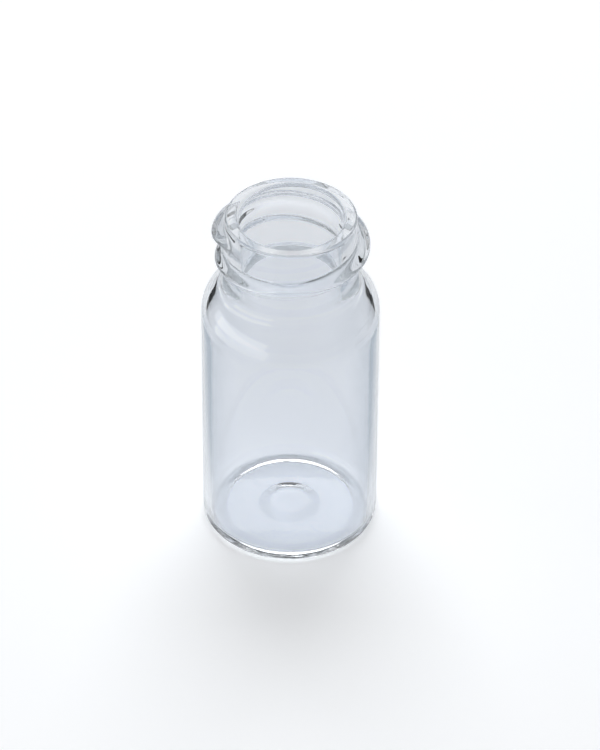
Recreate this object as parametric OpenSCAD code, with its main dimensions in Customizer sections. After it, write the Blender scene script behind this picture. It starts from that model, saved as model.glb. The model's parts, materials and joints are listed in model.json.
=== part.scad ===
// Glass sample vial, formed in one piece from clear borosilicate tubing: the base is closed and
// pushed up, the shoulder drawn in, and the thick neck rolled with an outside screw thread.
// Millimetres. Origin at the centre of the standing ring, +Z up the axis to the mouth.

/* [Body] */
// Outside diameter of the tubing
body_d = 20; // [19:0.5:24]
// Overall height, standing ring to lip
height = 42; // [34:1:60]
// Wall thickness of the tubing
wall = 1; // [0.8:0.1:1.3]
// Outside radius of the heel, where the wall turns into the base
heel_r = 0.9; // [0.6:0.1:1.2]

/* [Base] */
// Glass thickness at the middle of the base, outside the dimple
base_t = 0.8; // [0.7:0.05:1.2]
// Width of the flat ring that the vial stands on
stand_w = 0.3; // [0.2:0.1:0.6]
// Width over which the underside leans up, in from that ring
lean_w = 1.4; // [1:0.1:2]
// Height that it leans up to
lean_h = 0.45; // [0.3:0.05:0.6]
// Rise of the underside from there to the middle
dome_rise = 0.15; // [0.05:0.05:0.3]
// Rise of the floor from its edge to the middle
floor_rise = 0.5; // [0.2:0.05:0.6]
// Radius inside, where the wall meets the floor
floor_corner_r = 0.5; // [0.4:0.1:1]
// Diameter of the dimple under the base, left where the tube was closed
dimple_d = 7; // [5:0.5:8]
// Diameter of its flat top
dimple_top_d = 4.2; // [2:0.2:4.6]
// Depth of the dimple
dimple_depth = 0.35; // [0.1:0.05:0.4]

/* [Shoulder and neck] */
// Outside radius of the shoulder
shoulder_r = 4; // [3.4:0.1:4.6]
// How far the shoulder starts lower inside than outside, which thickens its glass
shoulder_lag = 1.25; // [0.6:0.05:1.5]
// Outside fillet between the shoulder and the neck
neck_fillet = 1.5; // [1:0.1:2]
// Fillet inside, where the shoulder runs into the bore
throat_fillet = 2.6; // [2:0.1:3]
// Height from the foot of the neck to the lip
neck_h = 8.6; // [8:0.1:10]
// Outside diameter at the foot of the neck, between the turns of the thread
neck_d = 15.6; // [15.4:0.1:15.8]
// How much narrower the neck is at the lip than at its foot
neck_taper = 0.9; // [0:0.1:1]
// Diameter of the bore
bore_d = 11.7; // [11:0.1:12]
// Radius on the outer edge of the lip
lip_outer_r = 0.35; // [0.2:0.05:0.6]
// Radius on the inner edge of the lip
lip_inner_r = 0.4; // [0.2:0.05:0.45]

/* [Thread] */
// How far the thread stands out from the foot of the neck
thread_h = 1; // [0.8:0.05:1.2]
// Rise in one turn, right-handed
thread_pitch = 3.175; // [2.8:0.025:3.4]
// Lip to the middle of the thread at its upper end
thread_top = 1.85; // [1.8:0.05:2.4]
// Angle that the thread covers, with both run-outs
thread_sweep = 560; // [480:5:580]
// Angle round from +X at which the upper end lies
thread_end = 210; // [0:5:355]
// Angle over which the lower end rises out of the neck
lower_run_out = 248; // [150:2:260]
// Angle over which the upper end sinks back into it
upper_run_out = 30; // [20:2:80]
// Radius on the crest of the thread
crest_r = 0.5; // [0.4:0.05:0.6]
// Lean of the thread's flanks, from square to the neck
flank_lean = 40; // [30:1:45]

/* [Hidden] */
$fn = 96;

body_r = body_d / 2;
cavity_r = body_r - wall;
neck_r = neck_d / 2;
lip_r = (neck_d - neck_taper) / 2;
bore_r = bore_d / 2;

// The lip's two edge radii leave a flat land between them, however thin the neck
lip_w = lip_r - bore_r;
outer_edge = min(lip_outer_r, 0.5 * lip_w);
inner_edge = min(lip_inner_r, 0.3 * lip_w);

// The shoulder has one radius outside and inside, and hangs below the neck
neck_z = height - neck_h;
shoulder_z = neck_z - rise(body_r, neck_fillet, neck_r);
cavity_top = shoulder_z - shoulder_lag;
throat_z = cavity_top + rise(cavity_r, throat_fillet, bore_r);

// Base: a ring to stand on, a lean and a shallow dome inside it, and another dome on the floor
stand_r = body_r - heel_r;
foot_r = stand_r - stand_w;
lean_r = foot_r - lean_w;
crown_z = lean_h + dome_rise;
// height of the dome at the rim of the dimple
dimple_foot_z = dome_height(lean_r, dome_rise, crown_z, dimple_d / 2);
floor_edge_r = cavity_r - floor_corner_r;
floor_z = crown_z + base_t;
corner_z = floor_z - floor_rise + floor_corner_r;

// Thread
step_angle = 7.5;
thread_steps = ceil(thread_sweep / step_angle);
// how deep the ridge reaches into the neck's glass, and how deep its top lies at the ends
ridge_sink = 0.36 * lip_w;
end_dip = ridge_sink / 2;
// depth to which the flanks run on into the glass
flank_dip = end_dip / 2;
// past the glass, for cuts that run out of it
over = 1;

// Height between the centres of two arcs that run smoothly into each other: the shoulder's, in from
// a wall of radius side, and that of a fillet beside a neck of radius neck
function rise(side, fillet, neck) =
    sqrt(pow(shoulder_r + fillet, 2) - pow(neck + fillet - side + shoulder_r, 2));

// Radius of a dome from the radius of its edge and its rise
function dome_radius(edge, up) = (pow(edge, 2) + pow(up, 2)) / (2 * up);

// Height of that dome's surface at radius x, where its crown is at top_z
function dome_height(edge, up, top_z, x) =
    top_z - dome_radius(edge, up) + sqrt(pow(dome_radius(edge, up), 2) - pow(x, 2));

// Radius of the slightly tapered neck at height z
function neck_at(z) = neck_r + (lip_r - neck_r) * (z - neck_z) / (height - outer_edge - neck_z);

// Rectangle from the axis out to r, between two heights
module block(r, low, high) {
    translate([0, low]) square([r, high - low]);
}

// Disc whose top at top_z is the crown of a dome of radius edge that rises by up
module dome(edge, up, top_z) {
    translate([0, top_z - dome_radius(edge, up)]) circle(dome_radius(edge, up), $fn = 360);
}

// Half section of the shoulder from a wall of radius side at from_z into a neck at to_z
module shoulder_section(side, fillet, neck, from_z, to_z) {
    middle = side - shoulder_r;
    translate([middle, from_z]) circle(shoulder_r);
    difference() {
        polygon([[0, from_z], [middle, from_z], [neck + fillet, to_z], [0, to_z]]);
        translate([neck + fillet, to_z]) circle(fillet);
    }
}

// Half section of everything inside the outer surface, before the underside is cut
module outside() {
    block(stand_r, 0, heel_r);
    translate([stand_r, heel_r]) circle(heel_r);
    block(body_r, heel_r, shoulder_z);
    shoulder_section(body_r, neck_fillet, neck_r, shoulder_z, neck_z);
    translate([0, neck_z]) polygon([
        [0, 0],
        [neck_r, 0],
        [lip_r, neck_h - outer_edge],
        [0, neck_h - outer_edge]
    ]);
    block(lip_r - outer_edge, neck_z, height);
    translate([lip_r - outer_edge, height - outer_edge]) circle(outer_edge);
}

// Half section of the space under the base: the lean, the dome and the dimple
module underside() {
    polygon([[0, 0], [foot_r, 0], [lean_r, lean_h], [0, lean_h]]);
    intersection() {
        block(lean_r, 0, crown_z);
        dome(lean_r, dome_rise, crown_z);
    }
    polygon([
        [0, 0],
        [dimple_d / 2, 0],
        [dimple_d / 2, dimple_foot_z],
        [dimple_top_d / 2, dimple_foot_z + dimple_depth],
        [0, dimple_foot_z + dimple_depth]
    ]);
}

// Half section of the space inside, out through the mouth
module cavity() {
    block(bore_r, throat_z, height + over);
    difference() {
        block(bore_r + inner_edge, height - inner_edge, height + over);
        translate([bore_r + inner_edge, height - inner_edge]) circle(inner_edge);
    }
    shoulder_section(cavity_r, throat_fillet, bore_r, cavity_top, throat_z);
    block(cavity_r, corner_z, cavity_top);
    translate([floor_edge_r, corner_z]) circle(floor_corner_r);
    difference() {
        block(floor_edge_r, corner_z - floor_corner_r, corner_z);
        dome(floor_edge_r, floor_rise, floor_z);
    }
}

// Points of the thread's section, as [out from the neck, up], for a ridge of height h
function ridge(h) = let (
    steps = 3,
    crest = [
        for (i = [-steps : steps])
            let (a = (90 - flank_lean) * i / steps)
                [h - crest_r + crest_r * cos(a), crest_r * sin(a)]
    ],
    edge = crest[2 * steps],
    foot = edge[1] + (edge[0] + flank_dip) * tan(flank_lean)
) concat(
    [[-ridge_sink, -foot], [-flank_dip, -foot]],
    crest,
    [[-flank_dip, foot], [-ridge_sink, foot]]
);

// How far the ridge stands up at an angle from its lower end: 0 in the neck, 1 at full height. It
// grows evenly from the lower end and rounds off into the upper one.
function stand(a) =
    min(1, a / lower_run_out, sin(90 * min(1, (thread_sweep - a) / upper_run_out)));

// One ring of points of the thread, at angle a from its lower end
function thread_ring(a) = let (
    z = height - thread_top - thread_pitch * (thread_sweep - a) / 360,
    neck = neck_at(z),
    s = stand(a),
    turn = thread_end - thread_sweep + a
) [
    for (p = ridge(neck_r + thread_h - neck))
        let (r = neck + (p[0] > 0 ? p[0] * s - end_dip * (1 - s) : p[0]))
            [r * cos(turn), r * sin(turn), z + p[1]]
];

module thread() {
    rings = [for (i = [0 : thread_steps]) thread_ring(thread_sweep * i / thread_steps)];
    n = len(rings[0]);
    sides = [
        for (i = [0 : thread_steps - 1], j = [0 : n - 1])
            let (a = i * n + j, b = i * n + (j + 1) % n)
                each [[a, b, a + n], [b, b + n, a + n]]
    ];
    ends = [[for (j = [n - 1 : -1 : 0]) j], [for (j = [0 : n - 1]) thread_steps * n + j]];
    polyhedron([for (ring = rings, p = ring) p], concat(sides, ends));
}

module vial() {
    color("aliceblue", 0.4) union() {
        rotate_extrude() difference() {
            intersection() {
                outside();
                block(body_r, 0, height);
            }
            cavity();
            underside();
        }
        thread();
    }
}

vial();
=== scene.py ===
"""A clear glass sample vial with a screw neck, standing open on a white board."""

import json
import math

import bpy
from mathutils import Matrix, Vector


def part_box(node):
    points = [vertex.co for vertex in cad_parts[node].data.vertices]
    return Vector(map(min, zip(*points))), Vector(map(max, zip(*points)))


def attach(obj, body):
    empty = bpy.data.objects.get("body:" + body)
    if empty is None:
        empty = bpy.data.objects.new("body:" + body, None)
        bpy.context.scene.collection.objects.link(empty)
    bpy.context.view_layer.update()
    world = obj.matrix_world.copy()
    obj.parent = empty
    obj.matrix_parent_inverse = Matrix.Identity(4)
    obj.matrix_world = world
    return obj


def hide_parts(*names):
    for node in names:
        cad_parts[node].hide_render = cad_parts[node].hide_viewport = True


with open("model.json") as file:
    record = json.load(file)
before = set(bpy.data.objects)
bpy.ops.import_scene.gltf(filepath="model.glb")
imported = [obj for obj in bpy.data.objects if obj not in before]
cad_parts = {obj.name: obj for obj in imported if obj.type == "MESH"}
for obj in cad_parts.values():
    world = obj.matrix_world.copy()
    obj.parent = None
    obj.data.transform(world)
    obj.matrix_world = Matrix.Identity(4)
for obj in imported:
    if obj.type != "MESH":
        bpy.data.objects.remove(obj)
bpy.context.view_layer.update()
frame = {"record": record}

# --- The vial -------------------------------------------------------------------------------
# One length of drawn borosilicate tubing, turned in a flame: the base closed and pushed up, the
# shoulder drawn in, the neck thickened and rolled with its thread, the lip fire polished.

mm = 0.001
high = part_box("vial")[1]
mounts = {mount["name"]: mount for mount in frame["record"]["mounts"]}

height = high.z
body_r = round(high.x / mm, 1) * mm
wall = 1.0 * mm
bore_r = mounts["mouth"]["dims"]["r_mm"] * mm

heel_r = 0.9 * mm
floor_z = 1.4 * mm
floor_rise = 0.5 * mm
floor_corner_r = 0.5 * mm

shoulder_r = 4.0 * mm
shoulder_lag = 1.25 * mm
neck_fillet = 1.5 * mm
throat_fillet = 2.6 * mm
neck_h = 8.6 * mm
neck_r = 7.8 * mm
lip_r = 7.35 * mm
lip_outer_r = 0.35 * mm
lip_inner_r = 0.4 * mm

neck_z = height - neck_h
shoulder_x = body_r - shoulder_r
cavity_r = body_r - wall


def rise(r, fillet, neck, x):
    """Height from the centre of the shoulder's arc to that of the fillet it runs into."""
    return math.sqrt((r + fillet) ** 2 - (neck + fillet - x) ** 2)


inner_shoulder_r = 4.0 * mm
shoulder_z = neck_z - rise(shoulder_r, neck_fillet, neck_r, shoulder_x)
inner_shoulder_z = shoulder_z - shoulder_lag
inner_shoulder_x = cavity_r - inner_shoulder_r
throat_z = inner_shoulder_z + rise(inner_shoulder_r, throat_fillet, bore_r, inner_shoulder_x)


def arc(x, z, r, start, end, steps):
    """Points of an arc about (x, z), angles in degrees from +X, without its first point."""
    turns = [math.radians(start + (end - start) * (i + 1) / steps) for i in range(steps)]
    return [(x + r * math.cos(a), z + r * math.sin(a)) for a in turns]


def run(start, end, steps):
    """Points along a straight stretch, without its first point."""
    across, up = end[0] - start[0], end[1] - start[1]
    return [(start[0] + across * (i + 1) / steps, start[1] + up * (i + 1) / steps) for i in range(steps)]


def dome(edge, up, top, steps, start=0.0):
    """Points of a shallow dome with its crown at top, from a radius out to its edge."""
    r = (edge**2 + up**2) / (2 * up)
    radii = [start + (edge - start) * i / steps for i in range(steps + 1)]
    return [(x, top - r + math.sqrt(r**2 - x**2)) for x in radii]


def bend(r, fillet, neck, from_z, to_z, steps, x=shoulder_x):
    """The S of a shoulder from the wall up into a neck, as its two arcs."""
    turn = math.degrees(math.atan2(to_z - from_z, neck + fillet - x))
    return (
        arc(x, from_z, r, 0, turn, steps)
        + arc(neck + fillet, to_z, fillet, 180 + turn, 180, steps)
    )


def inward(points, r, start, end, steps):
    """Carries the underside on towards the axis, bent to a radius from start to end degrees."""
    x, z = points[-1]
    a = math.radians(start)
    for i in range(steps):
        b = math.radians(start + (end - start) * (i + 1) / steps)
        across, up = r * abs(math.sin(b) - math.sin(a)), r * abs(math.cos(a) - math.cos(b))
        points.append((x - across, z + up))


# Underside, from the line that the vial stands on inwards: an arched ring that leans up to a
# shoulder, a shallow dome, and the dimple that the flame left. Slopes are in degrees, and the last
# number of each call here and below is how many rows of mesh the stretch gets.
arch_slope = 12
arch_top_slope = 21
flat_slope = 2
dome_lift = math.tan(math.radians(1))
stand_bend = 0.8 * mm
arch_bend = 10 * mm
arch_top_bend = 1.0 * mm

underside = [(body_r - heel_r, 0)]
inward(underside, stand_bend, 0, arch_slope, 4)
inward(underside, arch_bend, arch_slope, arch_top_slope, 10)
inward(underside, arch_top_bend, arch_top_slope, flat_slope, 8)

dimple_r = 3.6 * mm
dimple_slope = 14.4
dimple_side = 1.0 * mm
dimple_foot_bend = 0.5 * mm
dimple_top_bend = 2.0 * mm

foot_x, foot_z = underside[-1]
dome_rise = foot_x * dome_lift
underside += dome(foot_x, dome_rise, foot_z + dome_rise, 14, dimple_r)[-2::-1]
inward(underside, dimple_foot_bend, 1, dimple_slope, 5)
x, z = underside[-1]
dimple_side_up = math.tan(math.radians(dimple_slope)) * dimple_side
underside += run((x, z), (x - dimple_side, z + dimple_side_up), 5)
inward(underside, dimple_top_bend, dimple_slope, flat_slope, 6)
x, z = underside[-1]
underside += dome(x, x * dome_lift, z + x * dome_lift, 6)[-2::-1]

floor_edge_r = cavity_r - floor_corner_r
corner_z = floor_z - floor_rise + floor_corner_r
outside = underside[::-1]
outside += arc(body_r - heel_r, heel_r, heel_r, -90, 0, 14)
outside += run((body_r, heel_r), (body_r, shoulder_z), 24)
outside += bend(shoulder_r, neck_fillet, neck_r, shoulder_z, neck_z, 16)
outside += run((neck_r, neck_z), (lip_r, height - lip_outer_r), 110)
outside += arc(lip_r - lip_outer_r, height - lip_outer_r, lip_outer_r, 0, 90, 12)

inside = run((lip_r - lip_outer_r, height), (bore_r + lip_inner_r, height), 2)
inside += arc(bore_r + lip_inner_r, height - lip_inner_r, lip_inner_r, 90, 180, 8)
inside += run((bore_r, height - lip_inner_r), (bore_r, throat_z), 12)
throat = bend(
    inner_shoulder_r, throat_fillet, bore_r, inner_shoulder_z, throat_z, 14, inner_shoulder_x
)
inside += throat[-2::-1]
inside += [(cavity_r, inner_shoulder_z)]
inside += run((cavity_r, inner_shoulder_z), (cavity_r, corner_z), 18)
inside += arc(floor_edge_r, corner_z, floor_corner_r, 0, -90, 10)
inside += dome(floor_edge_r, floor_rise, floor_z, 24)[-2::-1]

section = bpy.data.curves.new("vial_section", "CURVE")
section.dimensions = "3D"
line = section.splines.new("POLY")
line.points.add(len(outside + inside) - 1)
for point, (x, z) in zip(line.points, outside + inside):
    point.co = (x, 0, z, 1)
section_object = bpy.data.objects.new("vial_section", section)
bpy.context.scene.collection.objects.link(section_object)


def add(tree, kind, inputs=None, **settings):
    """Adds a node to a tree, with its settings, and its inputs set or linked."""
    node = tree.nodes.new(kind)
    for name, value in settings.items():
        setattr(node, name, value)
    for key, value in (inputs or {}).items():
        if isinstance(value, bpy.types.NodeSocket):
            tree.links.new(value, node.inputs[key])
        else:
            node.inputs[key].default_value = value
    return node


thread_height = 1.0 * mm
lathe = bpy.data.node_groups.new("lathe_with_thread", "GeometryNodeTree")
sizes = {
    "Section": ("NodeSocketObject", section_object),
    "Around": ("NodeSocketInt", 256),
    "Outside rows": ("NodeSocketInt", len(outside)),
    "Thread crest": ("NodeSocketFloat", neck_r + thread_height),
    "Thread half width": ("NodeSocketFloat", 1.35 * mm),
    "Thread pitch": ("NodeSocketFloat", 3.175 * mm),
    "Thread top": ("NodeSocketFloat", height - 1.85 * mm),
    "Thread sweep": ("NodeSocketFloat", math.radians(560)),
    "Thread end": ("NodeSocketFloat", math.radians(210)),
    "Lower run-out": ("NodeSocketFloat", math.radians(248)),
    "Upper run-out": ("NodeSocketFloat", math.radians(30)),
    "Heel height": ("NodeSocketFloat", 1.3 * mm),
    "Heel inner radius": ("NodeSocketFloat", 7.9 * mm),
    "Heel ripple": ("NodeSocketFloat", 0.13 * mm),
    "Heel ripple length": ("NodeSocketFloat", 1.7 * mm),
    "Glass": ("NodeSocketMaterial", None),
}
for name, (kind, value) in sizes.items():
    lathe.interface.new_socket(name=name, in_out="INPUT", socket_type=kind)
lathe.interface.new_socket(name="Geometry", in_out="OUTPUT", socket_type="NodeSocketGeometry")

given = lathe.nodes.new("NodeGroupInput").outputs


def math_node(operation, *values):
    """One arithmetic step in the lathe tree."""
    return add(lathe, "ShaderNodeMath", dict(enumerate(values)), operation=operation).outputs[0]


shape = add(lathe, "GeometryNodeObjectInfo", {"Object": given["Section"]})
points = add(
    lathe, "GeometryNodeCurveToPoints", {"Curve": shape.outputs["Geometry"]}, mode="EVALUATED"
)
rows = add(
    lathe,
    "GeometryNodeAttributeDomainSize",
    {"Geometry": points.outputs["Points"]},
    component="POINTCLOUD",
).outputs["Point Count"]
columns = math_node("ADD", given["Around"], 1)
grid = add(lathe, "GeometryNodeMeshGrid", {"Vertices X": columns, "Vertices Y": rows})
index = add(lathe, "GeometryNodeInputIndex").outputs[0]
row = math_node("FLOORED_MODULO", index, rows)
column = math_node("FLOOR", math_node("DIVIDE", math_node("ADD", index, 0.5), rows))
angle = math_node("MULTIPLY", column, math_node("DIVIDE", math.tau, given["Around"]))
at = add(lathe, "GeometryNodeInputPosition").outputs[0]
sample = add(
    lathe,
    "GeometryNodeSampleIndex",
    {"Geometry": points.outputs["Points"], "Value": at, "Index": row},
    data_type="FLOAT_VECTOR",
    domain="POINT",
)
place = add(lathe, "ShaderNodeSeparateXYZ", {0: sample.outputs[0]})
radius, level = place.outputs["X"], place.outputs["Z"]

# The thread rises in the wall wherever one of its turns passes: a rounded ridge across, sunk
# back into the neck over a run-out at each end.
relief = None
start = math_node("SUBTRACT", given["Thread end"], given["Thread sweep"])
for turn in (0, 1, 2):
    along = math_node("ADD", math_node("SUBTRACT", angle, start), (turn - 1) * math.tau)
    left = math_node("SUBTRACT", given["Thread sweep"], along)
    climb = math_node("DIVIDE", math_node("MULTIPLY", given["Thread pitch"], left), math.tau)
    centre = math_node("SUBTRACT", given["Thread top"], climb)
    away = math_node("ABSOLUTE", math_node("SUBTRACT", level, centre))
    across = math_node("MINIMUM", math_node("DIVIDE", away, given["Thread half width"]), 1)
    wave = math_node("COSINE", math_node("MULTIPLY", across, math.pi))
    ridge = math_node("MULTIPLY_ADD", wave, 0.5, 0.5)
    lower = math_node("MINIMUM", math_node("DIVIDE", along, given["Lower run-out"]), 1)
    upper = math_node("MAXIMUM", math_node("DIVIDE", left, given["Upper run-out"]), 0)
    upper = math_node("MINIMUM", upper, 1)
    upper = math_node("SINE", math_node("MULTIPLY", upper, math.pi / 2))
    stand = math_node("MAXIMUM", math_node("MINIMUM", lower, upper), 0)
    height_here = math_node("MULTIPLY", ridge, stand)
    relief = height_here if relief is None else math_node("MAXIMUM", relief, height_here)
is_outside = math_node("LESS_THAN", row, given["Outside rows"])
depth = math_node("SUBTRACT", given["Thread crest"], radius)
relief = math_node("MULTIPLY", math_node("MULTIPLY", relief, is_outside), depth)

radius = math_node("ADD", radius, relief)


def around(distance):
    """The place at a distance from the axis, on this row and column."""
    x = math_node("MULTIPLY", distance, math_node("COSINE", angle))
    y = math_node("MULTIPLY", distance, math_node("SINE", angle))
    return add(lathe, "ShaderNodeCombineXYZ", {"X": x, "Y": y, "Z": level}).outputs[0]


# The heel was turned soft against a plate, and froze in shallow ripples. They grow from nothing
# at the heel's height, and over a millimetre outwards from its inner radius.
heel_fade = 1.0 * mm
ripple_scale = math_node("DIVIDE", 1, given["Heel ripple length"])
ripple = add(
    lathe, "ShaderNodeTexNoise", {"Vector": around(radius), "Scale": ripple_scale, "Detail": 1.0}
).outputs[0]
low_down = math_node("SUBTRACT", 1, math_node("DIVIDE", level, given["Heel height"]))
low_down = math_node("MAXIMUM", low_down, 0)
far_out = math_node("DIVIDE", math_node("SUBTRACT", radius, given["Heel inner radius"]), heel_fade)
far_out = math_node("MINIMUM", math_node("MAXIMUM", far_out, 0), 1)
in_heel = math_node("MULTIPLY", math_node("MULTIPLY", low_down, far_out), is_outside)
ripple = math_node("MULTIPLY", math_node("MULTIPLY", ripple, in_heel), given["Heel ripple"])
radius = math_node("SUBTRACT", radius, ripple)
level = math_node("ADD", level, ripple)

# The seam up the side and the two poles on the axis are closed by merging what meets there.
touching = 1e-7
placed = add(
    lathe,
    "GeometryNodeSetPosition",
    {"Geometry": grid.outputs["Mesh"], "Position": around(radius)},
)
closed = add(
    lathe, "GeometryNodeMergeByDistance", {"Geometry": placed.outputs[0], "Distance": touching}
)
smooth = add(lathe, "GeometryNodeSetShadeSmooth", {"Geometry": closed.outputs[0]})
real = add(lathe, "GeometryNodeRealizeInstances", {"Geometry": smooth.outputs[0]})
finished = add(
    lathe, "GeometryNodeSetMaterial", {"Geometry": real.outputs[0], "Material": given["Glass"]}
)
add(lathe, "NodeGroupOutput", {"Geometry": finished.outputs[0]})


def from_hex(code):
    """Linear colour from an sRGB hex value."""
    parts = [int(code[i : i + 2], 16) / 255 for i in (1, 3, 5)]
    return [c / 12.92 if c <= 0.04045 else ((c + 0.055) / 1.055) ** 2.4 for c in parts] + [1]


# Clear borosilicate glass, fire polished: it has no colour of its own across the thin wall, and
# a cool grey one along it, where light runs the length of the glass.
glass = bpy.data.materials.new("clear_borosilicate_glass")
glass.use_nodes = True
tree = glass.node_tree
surface = tree.nodes["Principled BSDF"]
surface.inputs["Base Color"].default_value = from_hex("#F7F9FC")
surface.inputs["Roughness"].default_value = 0.0
surface.inputs["IOR"].default_value = 1.473
surface.inputs["Transmission Weight"].default_value = 1.0

# Drawing leaves lines down the tube, a few hundredths of a millimetre wide. They are drawn here
# about 1 mm apart, as wide as they need to be to show.
line_gap = 1.0 * mm
line_depth = 0.012 * mm
stretch = (1, 1, 0.03)
place = add(tree, "ShaderNodeTexCoord")
along = add(tree, "ShaderNodeMapping", {"Vector": place.outputs["Object"], "Scale": stretch})
lines = add(
    tree, "ShaderNodeTexNoise", {"Vector": along.outputs[0], "Scale": 1 / line_gap, "Detail": 2.0}
)
draw = add(
    tree, "ShaderNodeBump", {"Strength": 0.5, "Distance": line_depth, "Height": lines.outputs[0]}
)
tree.links.new(draw.outputs[0], surface.inputs["Normal"])
absorption = add(
    tree, "ShaderNodeVolumeAbsorption", {"Color": from_hex("#C8D2D4"), "Density": 10.0}
)
tree.links.new(absorption.outputs[0], tree.nodes["Material Output"].inputs["Volume"])

blank = bpy.data.meshes.new("blank")
maker = bpy.data.objects.new("vial_lathe", blank)
bpy.context.scene.collection.objects.link(maker)
modifier = maker.modifiers.new("lathe", "NODES")
modifier.node_group = lathe
sizes["Glass"] = ("NodeSocketMaterial", glass)
for item in lathe.interface.items_tree:
    if item.in_out == "INPUT":
        modifier[item.identifier] = sizes[item.name][1]

depsgraph = bpy.context.evaluated_depsgraph_get()
mesh = bpy.data.meshes.new_from_object(maker.evaluated_get(depsgraph))
mesh.name = "glass_vial"
vial = bpy.data.objects.new("glass_vial", mesh)
bpy.context.scene.collection.objects.link(vial)
maker.modifiers.remove(modifier)
bpy.data.objects.remove(maker)
bpy.data.objects.remove(section_object)

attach(vial, "root")
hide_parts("vial")

# --- Table and backdrop ---------------------------------------------------------------------
# A sheet of matt white board that takes the vial's soft shadow. It has a faint glow of its own
# on top of the light that falls on it, so that it is clean white where nothing shades it.

table_gap = 0.03 * mm
bpy.ops.mesh.primitive_plane_add(size=6, location=(0, 0, -table_gap))
table = bpy.context.object
table.name = "white_table"
board = bpy.data.materials.new("matt_white_board")
board.use_nodes = True
tree = board.node_tree
paint = tree.nodes["Principled BSDF"]
paint.inputs["Base Color"].default_value = from_hex("#F8FBFF")
paint.inputs["Roughness"].default_value = 0.9
paint.inputs["Specular IOR Level"].default_value = 0.0


def ray_kinds(tree):
    """Whether a ray is the camera's own, and whether it comes by way of the glass."""
    path = add(tree, "ShaderNodeLightPath")
    by_glass = add(
        tree,
        "ShaderNodeMath",
        {0: path.outputs["Is Glossy Ray"], 1: path.outputs["Is Transmission Ray"]},
        operation="MAXIMUM",
    )
    return path.outputs["Is Camera Ray"], by_glass.outputs[0]


glow_seen = 0.4
glow_in_glass = 0.17
by_camera, by_glass = ray_kinds(tree)
part = add(tree, "ShaderNodeMath", {0: by_glass, 1: glow_in_glass}, operation="MULTIPLY")
glow = add(
    tree,
    "ShaderNodeMath",
    {0: by_camera, 1: glow_seen, 2: part.outputs[0]},
    operation="MULTIPLY_ADD",
)
white = add(tree, "ShaderNodeEmission", {"Color": from_hex("#FFFFFF"), "Strength": glow.outputs[0]})
both = add(tree, "ShaderNodeAddShader", {0: paint.outputs[0], 1: white.outputs[0]})
tree.links.new(both.outputs[0], tree.nodes["Material Output"].inputs["Surface"])
table.data.materials.append(board)

# --- Light ----------------------------------------------------------------------------------
# A pale room, with a soft box behind, one at the left and one above. Black, grey and white cards
# stand and lie round the vial. They are seen only in the glass, where they draw its dark lines; the grey
# sheets that lie beside it are painted shade on the table.

world = bpy.data.worlds.new("pale_room")
bpy.context.scene.world = world
world.use_nodes = True
tree = world.node_tree
by_camera, by_glass = ray_kinds(tree)
fill = 0.06
room = 0.52
walls = add(
    tree,
    "ShaderNodeMix",
    {"Factor": by_glass, "A": (fill, fill, fill, 1), "B": (room, room, room, 1)},
    data_type="RGBA",
)
seen = add(
    tree,
    "ShaderNodeMix",
    {"Factor": by_camera, "A": walls.outputs["Result"], "B": (1, 1, 1, 1)},
    data_type="RGBA",
)
tree.links.new(seen.outputs["Result"], tree.nodes["Background"].inputs["Color"])

# Light is carried round the base and the thread by many reflections inside the glass, and the
# board under the vial is seen through it. Blurring gloss after a bounce would turn it dark.
bounces = 32
paths = bpy.context.scene.cycles
paths.max_bounces = bounces
paths.glossy_bounces = bounces
paths.transmission_bounces = bounces
paths.blur_glossy = 0.0

middle = Vector((0, 0, height / 2))


def face_vial(thing, azimuth, elevation, away, front="-Z"):
    """Puts a thing round the vial, azimuth clockwise from straight behind, turned to face it."""
    a, e = math.radians(azimuth), math.radians(elevation)
    towards = Vector((math.sin(a) * math.cos(e), math.cos(a) * math.cos(e), math.sin(e)))
    thing.location = middle + away * towards
    thing.rotation_euler = (middle - thing.location).to_track_quat(front, "Y").to_euler()
    bpy.context.scene.collection.objects.link(thing)


def soft_box(name, azimuth, elevation, wide, high, brightness):
    """A soft box a metre away, given by how wide and high it looks from the vial, in degrees."""
    lamp = bpy.data.lights.new(name, "AREA")
    lamp.shape = "RECTANGLE"
    lamp.size, lamp.size_y = (2 * math.tan(math.radians(angle / 2)) for angle in (wide, high))
    lamp.energy = brightness * math.pi * lamp.size * lamp.size_y
    box = bpy.data.objects.new(name, lamp)
    face_vial(box, azimuth, elevation, 1.0)
    return box


def card(name, tone, corners):
    """A plain card of one tone that only the glass sees."""
    card_shader = bpy.data.materials.new("card_seen_in_glass")
    card_shader.use_nodes = True
    tree = card_shader.node_tree
    colour = add(tree, "ShaderNodeEmission", {"Color": from_hex(tone)})
    tree.links.new(colour.outputs[0], tree.nodes["Material Output"].inputs["Surface"])
    mesh = bpy.data.meshes.new(name)
    mesh.from_pydata(corners, [], [(0, 1, 2, 3)])
    mesh.materials.append(card_shader)
    sheet = bpy.data.objects.new(name, mesh)
    sheet.visible_camera = False
    sheet.visible_diffuse = False
    sheet.visible_shadow = False
    return sheet


card_lift = 0.2 * mm


def lying_card(name, tone, left, right, front, rear):
    """A card flat on the table, from its left edge to its right and its front edge to its rear."""
    corners = [(left, front), (right, front), (right, rear), (left, rear)]
    sheet = card(name, tone, [(x, y, card_lift) for x, y in corners])
    bpy.context.scene.collection.objects.link(sheet)
    return sheet


def standing_card(name, tone, azimuth, elevation, wide, high, away):
    """A card that stands facing the vial, given by how wide and high it looks from there."""
    x, y = (away * math.tan(math.radians(angle / 2)) for angle in (wide, high))
    sheet = card(name, tone, [(-x, -y, 0), (x, -y, 0), (x, y, 0), (-x, y, 0)])
    face_vial(sheet, azimuth, elevation, away, "Z")


soft_box("back_box", 0, 41, 40, 16, 1.9)
soft_box("left_box", -110, 14, 80, 28, 2.0)
top_box = soft_box("top_box", 0, 60, 36, 30, 4.4)
top_box.visible_glossy = False
top_box.visible_transmission = False
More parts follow.
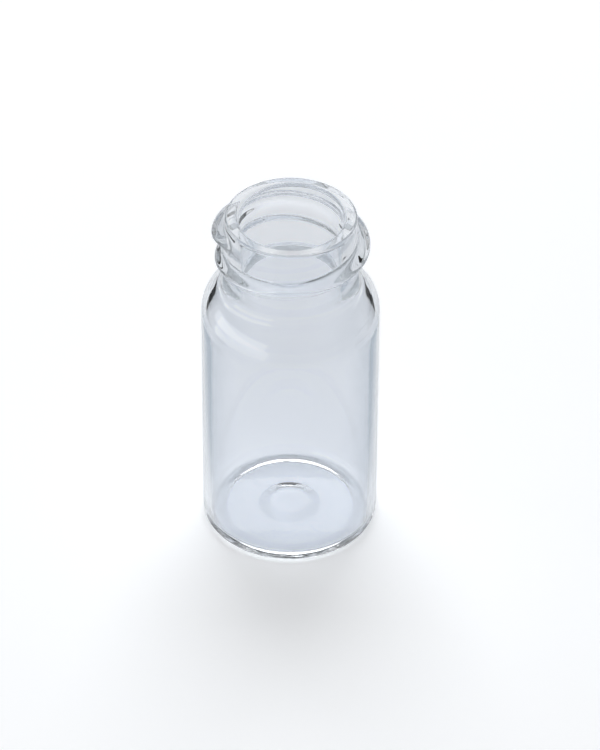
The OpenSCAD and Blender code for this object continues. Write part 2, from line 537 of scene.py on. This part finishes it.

# The grey sheets lying beside the vial are painted shade on the table, seen only in the glass. They give
# the soft band inside each side of the body.
side_shade_grey = "#B4BDC6"
side_inner = 11 * mm
side_outer = 90 * mm
side_front = -30 * mm
side_rear = 80 * mm
splay = 0.4


def painted_shade_sheet(name, side):
    """A grey sheet of painted shade beside the vial, its edges sprayed out so that none shows in the
    glass.
    """
    left, right = sorted((side * side_inner, side * side_outer))
    sheet = lying_card(name, side_shade_grey, left, right, side_front, side_rear)
    tree = sheet.data.materials[0].node_tree
    place = add(tree, "ShaderNodeTexCoord").outputs["Object"]
    slant = add(tree, "ShaderNodeVectorMath", {0: place, 1: (side, -splay, 0)}, operation="DOT_PRODUCT")
    away = add(tree, "ShaderNodeVectorMath", {0: place}, operation="LENGTH")
    back = add(tree, "ShaderNodeSeparateXYZ", {0: place})
    # How strongly the painted shade shows, fading out towards its edges.
    shade_cover = 1
    for value, clear_at, full_at in (
        (slant.outputs["Value"], 10 * mm, 19 * mm),
        (away.outputs["Value"], 85 * mm, 40 * mm),
        (back.outputs["Y"], -16 * mm, 6 * mm),
    ):
        span = {"Value": value, "From Min": clear_at, "From Max": full_at}
        fade = add(tree, "ShaderNodeMapRange", span, interpolation_type="SMOOTHSTEP")
        both = {0: shade_cover, 1: fade.outputs["Result"]}
        shade_cover = add(tree, "ShaderNodeMath", both, operation="MULTIPLY").outputs[0]
    output = tree.nodes["Material Output"].inputs["Surface"]
    paint = output.links[0].from_socket
    see_through = add(tree, "ShaderNodeBsdfTransparent")
    mixed = add(tree, "ShaderNodeMixShader", {0: shade_cover, 1: see_through.outputs[0], 2: paint})
    tree.links.new(mixed.outputs[0], output)


# Painted shade on the table at each side of the vial, seen only in the glass.
painted_shade_sheet("left_side_card", -1)
painted_shade_sheet("right_side_card", 1)

# Black cards lie on the table at both sides and further back, where they draw the dark lines at
# the shoulder. These are in metres.
black = "#262626"
reach = 1.5
beside = 0.25
beside_front, beside_rear = -0.05, 0.10
far = 0.2
far_front = 0.28
lying_card("left_card", black, -reach, -beside, beside_front, beside_rear)
lying_card("right_card", black, beside, reach, beside_front, beside_rear)
lying_card("left_far_card", black, -reach, -far, far_front, reach)
lying_card("right_far_card", black, far, reach, far_front, reach)
standing_card("back_curtain", black, -15, 15, 74, 34, 0.9)
standing_card("right_curtain", "#AAAAAA", 45, 15, 46, 34, 0.9)
standing_card("right_low_card", black, 45, 2, 46, 8, 0.8)
standing_card("white_backdrop", "#E7E7E7", 0, 5, 36, 12, 0.8)

# --- Camera ---------------------------------------------------------------------------------
# A long lens looks down on the vial from in front, so that the mouth and the base both show as
# wide ovals. The camera is turned a quarter of a degree from level.

elevation = math.radians(39)
roll = math.radians(0.25)
distance = 520 * mm
camera = bpy.data.cameras.new("camera")
camera.sensor_width = 36
camera.lens = 221.1
camera.shift_x = 0.0128
camera.shift_y = -0.0137333
camera.clip_end = 20
eye = bpy.data.objects.new("camera", camera)
bpy.context.scene.collection.objects.link(eye)
eye.location = middle + distance * Vector((0, -math.cos(elevation), math.sin(elevation)))
look_down = Matrix.Rotation(math.pi / 2 - elevation, 4, "X")
eye.rotation_euler = (look_down @ Matrix.Rotation(roll, 4, "Z")).to_euler()
bpy.context.scene.camera = eye

bpy.context.scene.view_settings.view_transform = "Standard"
